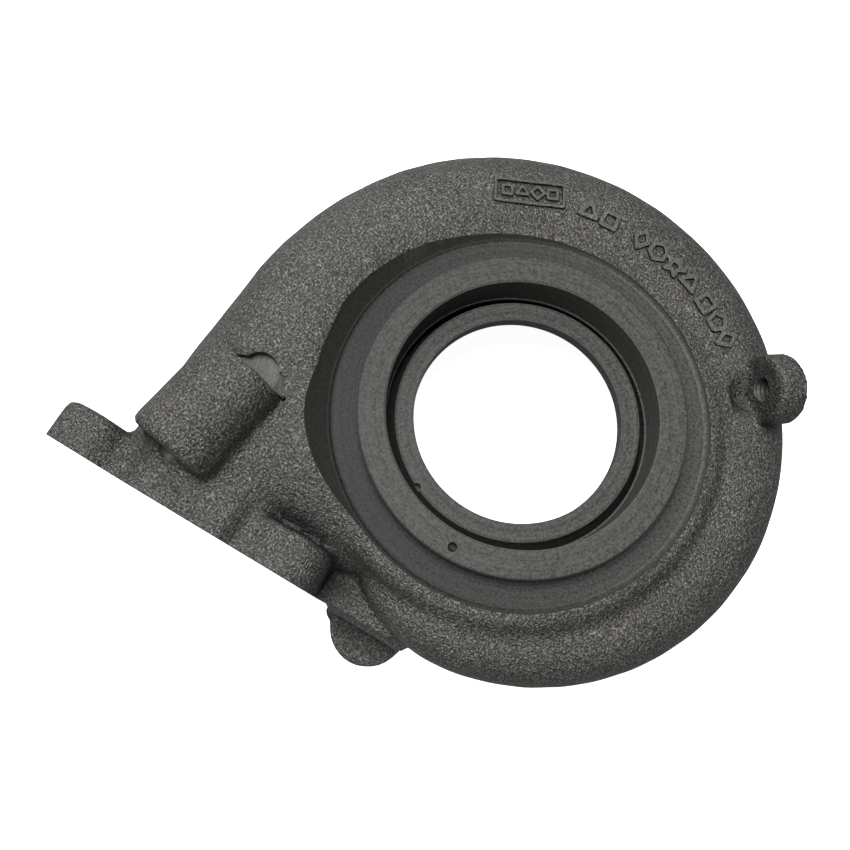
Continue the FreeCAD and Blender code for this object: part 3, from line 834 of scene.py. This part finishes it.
def ramp(tree, value, stops):
    made = node(tree, "ShaderNodeValToRGB", {"Fac": value})
    while len(made.color_ramp.elements) < len(stops):
        made.color_ramp.elements.new(0.5)
    for element, (place, grey) in zip(made.color_ramp.elements, stops):
        element.position = place
        element.color = (*grey, 1) if isinstance(grey, tuple) else (grey, grey, grey, 1)
    return made.outputs["Color"]


def grain_noise(tree, place, scale, detail, roughness):
    return node(tree, "ShaderNodeTexNoise", {"Vector": place, "Scale": scale, "Detail": detail,
                                             "Roughness": roughness}).outputs["Fac"]


def cast_material(name, level, contrast):
    """Grained iron: level scales its lightness, contrast the strength of its grain."""
    material, tree, shader = new_material(name)
    place = node(tree, "ShaderNodeTexCoord").outputs["Object"]
    grain = grain_noise(tree, place, GRAIN_SCALE, 2.0, 0.55)
    blotch = grain_noise(tree, place, BLOTCH_SCALE, 4.0, 0.6)
    grain_colour = ramp(tree, grain, GRAIN_STEPS)
    even = (*(channel * level for channel in EVEN_IRON), 1)
    grained = node(tree, "ShaderNodeMix", {0: contrast, 6: even, 7: grain_colour}, data_type="RGBA")
    # Painted shade: ambient occlusion darkens the colour in corners, creases and hollows
    corner = node(tree, "ShaderNodeAmbientOcclusion", {"Distance": CORNER_SHADE_REACH}, samples=6)
    corner_shade = ramp(tree, corner.outputs["AO"], CORNER_SHADE_STEPS)
    grained = node(tree, "ShaderNodeMix", {0: 1.0, 6: grained.outputs[2], 7: corner_shade}, data_type="RGBA",
                   blend_type="MULTIPLY")
    blotch_colour = ramp(tree, blotch, [(0.3, 0.78), (0.7, 1.0)])
    mixed = node(tree, "ShaderNodeMix", {0: 1.0, 6: grained.outputs[2], 7: blotch_colour},
                 data_type="RGBA", blend_type="MULTIPLY")
    tree.links.new(mixed.outputs[2], shader.inputs["Base Color"])
    shader.inputs["Metallic"].default_value = 0.35
    shader.inputs["Roughness"].default_value = IRON_ROUGHNESS
    fine = node(tree, "ShaderNodeBump", {"Height": grain, "Strength": 0.8, "Distance": 0.0009})
    coarse = node(tree, "ShaderNodeBump", {"Height": grain_noise(tree, place, PIT_SCALE, 2.0, 0.5),
                                           "Strength": 0.4, "Distance": 0.0010,
                                           "Normal": fine.outputs["Normal"]})
    tree.links.new(coarse.outputs["Normal"], shader.inputs["Normal"])
    return material


def machined_material(name):
    """Turned iron: fine rings about the turbine axis, with the metal's own specks."""
    dark, light, shade = TURNED[name]
    material, tree, shader = new_material(name)
    place = node(tree, "ShaderNodeTexCoord").outputs["Object"]
    split = node(tree, "ShaderNodeSeparateXYZ", {"Vector": place})
    flat = node(tree, "ShaderNodeCombineXYZ", {"X": split.outputs["X"], "Y": split.outputs["Y"]})
    radius = node(tree, "ShaderNodeVectorMath", {0: flat.outputs[0]}, operation="LENGTH")
    ring_place = node(tree, "ShaderNodeCombineXYZ", {"X": radius.outputs["Value"],
                                                     "Z": split.outputs["Z"]})
    rings = grain_noise(tree, ring_place.outputs[0], RING_SCALE, 3.0, 0.7)
    speck = grain_noise(tree, place, SPECK_SCALE, 3.0, 0.7)
    mix = node(tree, "ShaderNodeMix", {0: 0.6, 2: rings, 3: speck}).outputs[0]
    colour = ramp(tree, mix, [(0.41, dark), (0.59, light)])
    # Painted shade: the colour darkens on the duct's side of a line through the turbine axis
    if shade is not None:
        side = node(tree, "ShaderNodeVectorMath", {0: place, 1: PAINTED_SHADE_SIDE}, operation="DOT_PRODUCT")
        share = node(tree, "ShaderNodeMapRange", {0: side.outputs["Value"], 1: -PAINTED_SHADE_BAND,
                                                   2: PAINTED_SHADE_BAND})
        painted_shade = ramp(tree, share.outputs[0], [(0.0, shade), (1.0, 1.0)])
        colour = node(tree, "ShaderNodeMix", {0: 1.0, 6: colour, 7: painted_shade}, data_type="RGBA",
                      blend_type="MULTIPLY").outputs[2]
    tree.links.new(colour, shader.inputs["Base Color"])
    shader.inputs["Metallic"].default_value = 0.15
    shader.inputs["Roughness"].default_value = IRON_ROUGHNESS
    shader.inputs["Specular IOR Level"].default_value = 0.2
    bump = node(tree, "ShaderNodeBump", {"Height": mix, "Strength": 0.3, "Distance": 0.0004})
    tree.links.new(bump.outputs["Normal"], shader.inputs["Normal"])
    return material


# The studio

def add_camera():
    data = bpy.data.cameras.new("camera")
    data.sensor_width = SENSOR_WIDTH
    data.lens = FOCAL_PIXELS / IMAGE_PIXELS * data.sensor_width
    data.clip_start = 0.01
    camera = bpy.data.objects.new("camera", data)
    right = Vector(CAM_RIGHT)
    up = Vector(CAM_UP)
    back = right.cross(up)
    rows = Matrix((right, up, back)).transposed().to_4x4()
    rows.translation = Vector(CAM_PLACE) * MM
    camera.matrix_world = rows
    bpy.context.scene.collection.objects.link(camera)
    bpy.context.scene.camera = camera


def add_area(name, place, size, power):
    data = bpy.data.lights.new(name, "AREA")
    data.shape = "DISK"
    data.size = size
    data.energy = power
    lamp = bpy.data.objects.new(name, data)
    lamp.location = place
    lamp.rotation_euler = (Vector(LAMP_AIM) - Vector(place)).to_track_quat("-Z", "Y").to_euler()
    bpy.context.scene.collection.objects.link(lamp)


def add_world():
    world = bpy.data.worlds.new("studio")
    bpy.context.scene.world = world
    world.use_nodes = True
    tree = world.node_tree
    tree.nodes.clear()
    light = node(tree, "ShaderNodeBackground", {"Color": (1, 1, 1, 1), "Strength": WORLD_LIGHT})
    white = node(tree, "ShaderNodeBackground", {"Color": (1, 1, 1, 1), "Strength": 1.0})
    ray = node(tree, "ShaderNodeLightPath")
    mix = node(tree, "ShaderNodeMixShader", {0: ray.outputs["Is Camera Ray"], 1: light.outputs[0],
                                             2: white.outputs[0]})
    output = node(tree, "ShaderNodeOutputWorld")
    tree.links.new(mix.outputs[0], output.inputs["Surface"])


def add_floor():
    mesh = bpy.data.meshes.new("floor")
    reach = STAGE_REACH
    mesh.from_pydata([(-reach, -reach, 0), (reach, -reach, 0), (reach, reach, 0), (-reach, reach, 0)],
                     [], [(0, 1, 2, 3)])
    floor = new_object("floor", mesh)
    material, tree, shader = new_material("pale_floor")
    shader.inputs["Base Color"].default_value = (STAGE_GREY, STAGE_GREY, STAGE_GREY, 1)
    shader.inputs["Roughness"].default_value = 0.9
    glow = node(tree, "ShaderNodeEmission", {"Color": (1, 1, 1, 1), "Strength": STAGE_GLOW})
    seen = node(tree, "ShaderNodeAddShader", {0: shader.outputs[0], 1: glow.outputs[0]})
    ray = node(tree, "ShaderNodeLightPath")
    bounce = (STAGE_BOUNCE, STAGE_BOUNCE, STAGE_BOUNCE, 1)
    dull = node(tree, "ShaderNodeBsdfDiffuse", {"Color": bounce})
    mix = node(tree, "ShaderNodeMixShader", {0: ray.outputs["Is Camera Ray"], 1: dull.outputs[0],
                                             2: seen.outputs[0]})
    tree.links.new(mix.outputs[0], tree.nodes["Material Output"].inputs["Surface"])
    floor.data.materials.append(material)


def use_turned_materials(body):
    """Gives walls, recess, lip and clearance floor darker or lighter copies of the turned iron,
    painted shade and painted light by slope and depth, and keeps level faces flat.
    """
    for name in TURNED:
        if body.data.materials.find(name) < 0:
            body.data.materials.append(machined_material(name))
    slot = {name: body.data.materials.find(name) for name in TURNED}
    for polygon in body.data.polygons:
        polygon.use_smooth = True
        if polygon.material_index != slot["machined_face"]:
            continue
        polygon.use_smooth = abs(polygon.normal.z) <= LEVEL
        centre = polygon.center / MM
        radius = math.hypot(centre.x, centre.y)
        outside_lip = radius > LIP_GROOVE_RADIUS
        if radius > TURNED_RADIUS or centre.z < TURNED_FOOT_Z:
            continue
        # Painted shade on steep walls outside the lip, on the lip and ledge faces and on the
        # clearance floor; painted light on steep walls inside the lip
        if abs(polygon.normal.z) < STEEP:
            iron = "machined_wall" if outside_lip else "machined_recess"
        else:
            low = outside_lip and centre.z < LIP_Z - LIP_THICKNESS
            iron = "machined_floor" if low else "machined_lip"
        polygon.material_index = slot[iron]


def build_casting():
    x, y, z = grid_axes(GRID_LOW, GRID_HIGH, VOXEL)
    field = np.maximum(cast_field(x, y, z), -gas_way_field(x, y, z))
    body = mesh_field("turbine_housing_casting", field, GRID_LOW, VOXEL)
    body.data.materials.append(cast_material("cast_iron_skin", 1.0, 1.0))
    add_marks(body)
    faced = machined_material("machined_face")
    apply_cut(body, turned_cutters() + face_cutters() + drilled_cutters(), faced)
    use_turned_materials(body)
    body.data.set_sharp_from_angle(angle=math.radians(SHARP_ANGLE))
    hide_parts("turbine_housing")
    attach(body, "root")


add_camera()
add_world()
for lamp in LAMPS:
    add_area(*lamp)
add_floor()
build_casting()
bpy.context.scene.view_settings.view_transform = "Standard"
